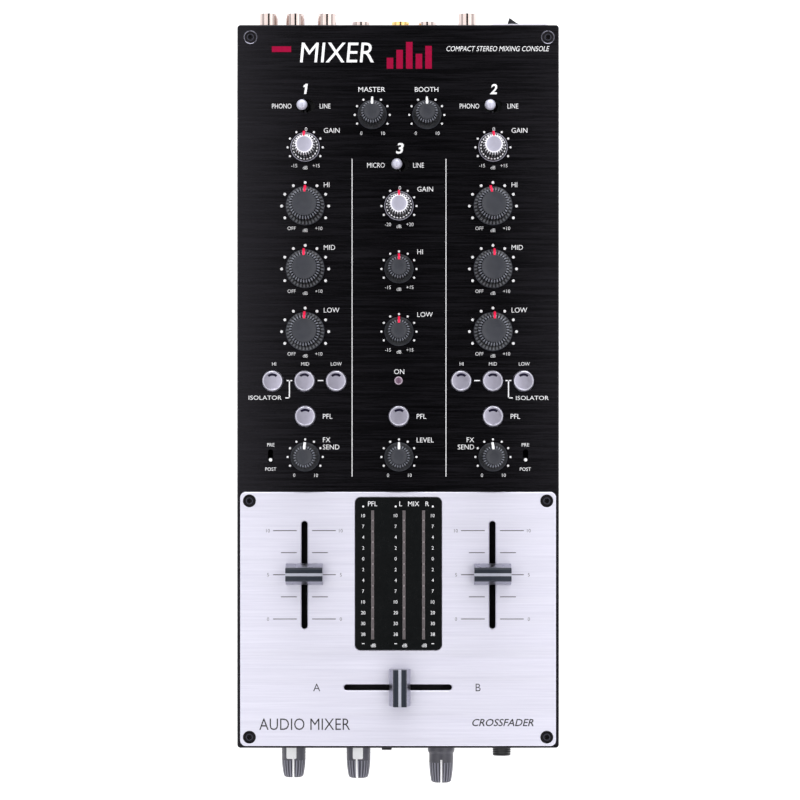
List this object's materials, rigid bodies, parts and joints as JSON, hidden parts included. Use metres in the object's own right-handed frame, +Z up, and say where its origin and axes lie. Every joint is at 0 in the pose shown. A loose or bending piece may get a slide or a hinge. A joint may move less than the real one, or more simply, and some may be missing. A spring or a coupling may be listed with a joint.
{
  "type": "dj mixer",
  "caption": "Compact battle-style dj mixer with rotary tone controls, channel faders, crossfader, level meter and rear phono sockets, for blending audio sources.",
  "frame": {"origin": "under the middle of the whole mixer, knobs and sockets included, on the table surface", "axes": "+X to the user's right, +Y towards the rear panel with the sockets, +Z up"},
  "size_m": [0.1468, 0.3632, 0.0879],
  "materials": {
    "black_sheet": "satin",
    "black_panel": "brushed, black anodised",
    "bright_plate": "fine brushed",
    "black_gloss": "gloss",
    "light_segment": "satin",
    "led_lens": "gloss",
    "black_screw": "black oxide",
    "foot_rubber": "matte",
    "bright_plating": "polished",
    "gold_plating": "polished",
    "white_insulator": "satin",
    "black_moulding": "matte",
    "blade_metal": "satin",
    "dark_steel": "blackened",
    "board": "satin",
    "core_steel": "varnished",
    "dark_knob": "satin",
    "silver_knob": "metallic satin",
    "button_cap": "metallic satin",
    "white_stem": "satin",
    "fader_cap": "satin"
  },
  "bodies": {
    "case": {"chassis_tray": "black_sheet", "front_panel": "black_sheet", "rear_panel": "black_sheet", "top_panel": "black_panel", "fader_plate": "bright_plate", "meter_bezel": "black_gloss", "meter_light_bars": "light_segment", "power_led": "led_lens", "panel_screws": "black_screw", "rubber_feet": "foot_rubber", "phono_shells": "bright_plating", "digital_phono_shell": "gold_plating", "phono_insulators": "white_insulator", "ground_post": "bright_plating", "headphone_jack": "black_moulding", "mains_module": "black_moulding", "inlet_pins": "blade_metal", "control_board": "board", "potentiometers": "blade_metal", "switch_bodies": "black_moulding", "fader_units": "dark_steel", "mains_transformer": "core_steel"},
    "channel_1_hi_knob": {"channel_1_hi_knob": "dark_knob"},
    "channel_1_mid_knob": {"channel_1_mid_knob": "dark_knob"},
    "channel_1_low_knob": {"channel_1_low_knob": "dark_knob"},
    "channel_2_hi_knob": {"channel_2_hi_knob": "dark_knob"},
    "channel_2_mid_knob": {"channel_2_mid_knob": "dark_knob"},
    "channel_2_low_knob": {"channel_2_low_knob": "dark_knob"},
    "channel_1_gain_knob": {"channel_1_gain_knob": "silver_knob"},
    "channel_2_gain_knob": {"channel_2_gain_knob": "silver_knob"},
    "channel_3_gain_knob": {"channel_3_gain_knob": "silver_knob"},
    "channel_3_hi_knob": {"channel_3_hi_knob": "dark_knob"},
    "channel_3_low_knob": {"channel_3_low_knob": "dark_knob"},
    "channel_3_level_knob": {"channel_3_level_knob": "dark_knob"},
    "channel_1_fx_send_knob": {"channel_1_fx_send_knob": "dark_knob"},
    "channel_2_fx_send_knob": {"channel_2_fx_send_knob": "dark_knob"},
    "master_level_knob": {"master_level_knob": "dark_knob"},
    "booth_level_knob": {"booth_level_knob": "dark_knob"},
    "cue_level_knob": {"cue_level_knob": "dark_knob"},
    "cue_mix_knob": {"cue_mix_knob": "dark_knob"},
    "mic_level_knob": {"mic_level_knob": "dark_knob"},
    "isolator_1_hi_button": {"isolator_1_hi_button": "button_cap"},
    "isolator_1_mid_button": {"isolator_1_mid_button": "button_cap"},
    "isolator_1_low_button": {"isolator_1_low_button": "button_cap"},
    "isolator_2_hi_button": {"isolator_2_hi_button": "button_cap"},
    "isolator_2_mid_button": {"isolator_2_mid_button": "button_cap"},
    "isolator_2_low_button": {"isolator_2_low_button": "button_cap"},
    "cue_1_button": {"cue_1_button": "button_cap"},
    "cue_3_button": {"cue_3_button": "button_cap"},
    "cue_2_button": {"cue_2_button": "button_cap"},
    "source_1_toggle": {"source_1_toggle": "bright_plating"},
    "source_2_toggle": {"source_2_toggle": "bright_plating"},
    "source_3_toggle": {"source_3_toggle": "bright_plating"},
    "send_point_1_slide": {"send_point_1_slide": "white_stem"},
    "send_point_2_slide": {"send_point_2_slide": "white_stem"},
    "channel_1_fader": {"channel_1_fader": "fader_cap"},
    "channel_2_fader": {"channel_2_fader": "fader_cap"},
    "crossfader": {"crossfader": "fader_cap"},
    "power_rocker": {"power_rocker": "black_moulding"},
    "reverse_slide": {"reverse_slide": "black_moulding"}
  },
  "joints": [
    {"name": "channel_1_hi_turn", "type": "hinge", "parent": "case", "child": "channel_1_hi_knob", "pos_m": [-0.0424, 0.0845, 0.072], "axis": [0, 0, -1], "range_deg": [-151, 149]},
    {"name": "channel_1_mid_turn", "type": "hinge", "parent": "case", "child": "channel_1_mid_knob", "pos_m": [-0.0424, 0.0558, 0.072], "axis": [0, 0, -1], "range_deg": [-147, 153]},
    {"name": "channel_1_low_turn", "type": "hinge", "parent": "case", "child": "channel_1_low_knob", "pos_m": [-0.0424, 0.0272, 0.072], "axis": [0, 0, -1], "range_deg": [-149, 151]},
    {"name": "channel_2_hi_turn", "type": "hinge", "parent": "case", "child": "channel_2_hi_knob", "pos_m": [0.0433, 0.0845, 0.072], "axis": [0, 0, -1], "range_deg": [-141, 159]},
    {"name": "channel_2_mid_turn", "type": "hinge", "parent": "case", "child": "channel_2_mid_knob", "pos_m": [0.0433, 0.0558, 0.072], "axis": [0, 0, -1], "range_deg": [-153, 147]},
    {"name": "channel_2_low_turn", "type": "hinge", "parent": "case", "child": "channel_2_low_knob", "pos_m": [0.0433, 0.0272, 0.072], "axis": [0, 0, -1], "range_deg": [-154, 146]},
    {"name": "channel_1_gain_turn", "type": "hinge", "parent": "case", "child": "channel_1_gain_knob", "pos_m": [-0.0424, 0.1113, 0.072], "axis": [0, 0, -1], "range_deg": [-147, 153]},
    {"name": "channel_2_gain_turn", "type": "hinge", "parent": "case", "child": "channel_2_gain_knob", "pos_m": [0.0433, 0.1113, 0.072], "axis": [0, 0, -1], "range_deg": [-150, 150]},
    {"name": "channel_3_gain_turn", "type": "hinge", "parent": "case", "child": "channel_3_gain_knob", "pos_m": [0.0004, 0.0845, 0.072], "axis": [0, 0, -1], "range_deg": [-150, 150]},
    {"name": "channel_3_hi_turn", "type": "hinge", "parent": "case", "child": "channel_3_hi_knob", "pos_m": [0.0004, 0.0558, 0.072], "axis": [0, 0, -1], "range_deg": [-150, 150]},
    {"name": "channel_3_low_turn", "type": "hinge", "parent": "case", "child": "channel_3_low_knob", "pos_m": [0.0004, 0.0272, 0.072], "axis": [0, 0, -1], "range_deg": [-150, 150]},
    {"name": "channel_3_level_turn", "type": "hinge", "parent": "case", "child": "channel_3_level_knob", "pos_m": [0.0004, -0.03, 0.072], "axis": [0, 0, -1], "range_deg": [-150, 150]},
    {"name": "channel_1_fx_send_turn", "type": "hinge", "parent": "case", "child": "channel_1_fx_send_knob", "pos_m": [-0.0424, -0.03, 0.072], "axis": [0, 0, -1], "range_deg": [-150, 150]},
    {"name": "channel_2_fx_send_turn", "type": "hinge", "parent": "case", "child": "channel_2_fx_send_knob", "pos_m": [0.0433, -0.03, 0.072], "axis": [0, 0, -1], "range_deg": [-146, 154]},
    {"name": "master_level_turn", "type": "hinge", "parent": "case", "child": "master_level_knob", "pos_m": [-0.0118, 0.1261, 0.072], "axis": [0, 0, -1], "range_deg": [-150, 150]},
    {"name": "booth_level_turn", "type": "hinge", "parent": "case", "child": "booth_level_knob", "pos_m": [0.0131, 0.1261, 0.072], "axis": [0, 0, -1], "range_deg": [-150, 150]},
    {"name": "cue_level_turn", "type": "hinge", "parent": "case", "child": "cue_level_knob", "pos_m": [-0.04875, -0.1628, 0.037], "axis": [0, 1, 0], "range_deg": [-150, 150]},
    {"name": "cue_mix_turn", "type": "hinge", "parent": "case", "child": "cue_mix_knob", "pos_m": [-0.0185, -0.1628, 0.037], "axis": [0, 1, 0], "range_deg": [-142, 158]},
    {"name": "mic_level_turn", "type": "hinge", "parent": "case", "child": "mic_level_knob", "pos_m": [0.0201, -0.1628, 0.037], "axis": [0, 1, 0], "range_deg": [-150, 150]},
    {"name": "isolator_1_hi_press", "type": "slide", "parent": "case", "child": "isolator_1_hi_button", "axis": [0, 0, -1], "range_m": [0, 0.0012], "stiffness_N_per_m": 400, "springref_m": -0.001},
    {"name": "isolator_1_mid_press", "type": "slide", "parent": "case", "child": "isolator_1_mid_button", "axis": [0, 0, -1], "range_m": [0, 0.0012], "stiffness_N_per_m": 400, "springref_m": -0.001},
    {"name": "isolator_1_low_press", "type": "slide", "parent": "case", "child": "isolator_1_low_button", "axis": [0, 0, -1], "range_m": [0, 0.0012], "stiffness_N_per_m": 400, "springref_m": -0.001},
    {"name": "isolator_2_hi_press", "type": "slide", "parent": "case", "child": "isolator_2_hi_button", "axis": [0, 0, -1], "range_m": [0, 0.0012], "stiffness_N_per_m": 400, "springref_m": -0.001},
    {"name": "isolator_2_mid_press", "type": "slide", "parent": "case", "child": "isolator_2_mid_button", "axis": [0, 0, -1], "range_m": [0, 0.0012], "stiffness_N_per_m": 400, "springref_m": -0.001},
    {"name": "isolator_2_low_press", "type": "slide", "parent": "case", "child": "isolator_2_low_button", "axis": [0, 0, -1], "range_m": [0, 0.0012], "stiffness_N_per_m": 400, "springref_m": -0.001},
    {"name": "cue_1_press", "type": "slide", "parent": "case", "child": "cue_1_button", "axis": [0, 0, -1], "range_m": [0, 0.0012], "stiffness_N_per_m": 400, "springref_m": -0.001},
    {"name": "cue_3_press", "type": "slide", "parent": "case", "child": "cue_3_button", "axis": [0, 0, -1], "range_m": [0, 0.0012], "stiffness_N_per_m": 400, "springref_m": -0.001},
    {"name": "cue_2_press", "type": "slide", "parent": "case", "child": "cue_2_button", "axis": [0, 0, -1], "range_m": [0, 0.0012], "stiffness_N_per_m": 400, "springref_m": -0.001},
    {"name": "source_1_throw", "type": "hinge", "parent": "case", "child": "source_1_toggle", "pos_m": [-0.0424, 0.1302, 0.067], "axis": [0, 1, 0], "range_deg": [0, 16]},
    {"name": "source_2_throw", "type": "hinge", "parent": "case", "child": "source_2_toggle", "pos_m": [0.0433, 0.1302, 0.067], "axis": [0, 1, 0], "range_deg": [0, 16]},
    {"name": "source_3_throw", "type": "hinge", "parent": "case", "child": "source_3_toggle", "pos_m": [0.0008, 0.1033, 0.067], "axis": [0, 1, 0], "range_deg": [0, 16]},
    {"name": "send_point_1_travel", "type": "slide", "parent": "case", "child": "send_point_1_slide", "axis": [0, 1, 0], "range_m": [0, 0.0035]},
    {"name": "send_point_2_travel", "type": "slide", "parent": "case", "child": "send_point_2_slide", "axis": [0, 1, 0], "range_m": [0, 0.0035]},
    {"name": "channel_1_fader_travel", "type": "slide", "parent": "case", "child": "channel_1_fader", "axis": [0, 1, 0], "range_m": [-0.02285, 0.02215]},
    {"name": "channel_2_fader_travel", "type": "slide", "parent": "case", "child": "channel_2_fader", "axis": [0, 1, 0], "range_m": [-0.02285, 0.02215]},
    {"name": "crossfader_travel", "type": "slide", "parent": "case", "child": "crossfader", "axis": [1, 0, 0], "range_m": [-0.0234, 0.0216]},
    {"name": "power_rock", "type": "hinge", "parent": "case", "child": "power_rocker", "pos_m": [0.0559, 0.1676, 0.05], "axis": [0, 0, 1], "range_deg": [0, 34]},
    {"name": "reverse_travel", "type": "slide", "parent": "case", "child": "reverse_slide", "axis": [1, 0, 0], "range_m": [0, 0.0025]}
  ]
}
